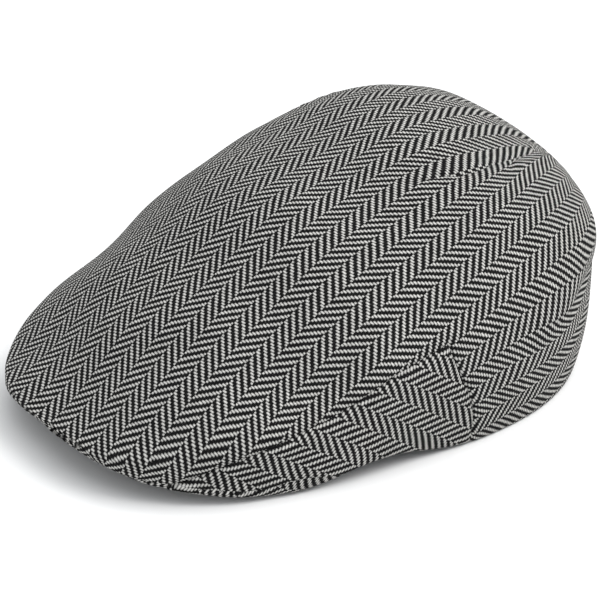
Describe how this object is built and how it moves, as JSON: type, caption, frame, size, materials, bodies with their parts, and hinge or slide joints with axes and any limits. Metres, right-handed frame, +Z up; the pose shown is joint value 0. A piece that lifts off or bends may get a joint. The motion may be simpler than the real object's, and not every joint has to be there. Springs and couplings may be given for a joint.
{
  "type": "flat cap",
  "caption": "Herringbone flat cap: one-piece crown sewn over a stiff brim, crescent side gussets, satin lining and an inner sweatband.",
  "frame": {"origin": "middle of the head opening, on the plane that the rolled hem rests on", "axes": "+Z up through the crown, +Y to the back of the head, -Y to the brim, +X to the wearer's left"},
  "size_m": [0.176, 0.2557, 0.1127],
  "materials": {
    "tweed": "black and off-white 2/2 twill herringbone wool",
    "tweed_gusset": "the same herringbone cloth, cut on another grain",
    "tweed_under": "the same herringbone cloth under the brim",
    "interlining": "matte non-woven",
    "brim_board": "moulded polyethylene board",
    "seam_tape": "cotton twill tape",
    "sweatband_twill": "black cotton twill",
    "lining_satin": "black polyester satin with a soft sheen",
    "woven_label": "blank woven damask",
    "satin_label": "blank white satin tape",
    "thread": "black polyester thread"
  },
  "bodies": {
    "cap": {"crown_panel": "tweed", "side_gusset_left": "tweed_gusset", "side_gusset_right": "tweed_gusset", "crown_interlining": "interlining", "brim_board": "brim_board", "brim_under_cover": "tweed_under", "head_seam_tape": "seam_tape", "sweatband": "sweatband_twill", "lining_top": "lining_satin", "lining_side_left": "lining_satin", "lining_side_right": "lining_satin", "maker_label": "woven_label", "size_label": "satin_label", "sweatband_thread": "thread", "brim_edge_thread": "thread", "gusset_thread_left": "thread", "gusset_thread_right": "thread", "dart_thread_left": "thread", "dart_thread_right": "thread"},
    "label_flap": {"care_label": "satin_label"}
  },
  "joints": [
    {"name": "care_label_hinge", "type": "hinge", "parent": "cap", "child": "label_flap", "pos_m": [0.04558, 0.08573, 0.04], "axis": [-0.831, 0.5563, 0], "range_deg": [0, 140]}
  ]
}
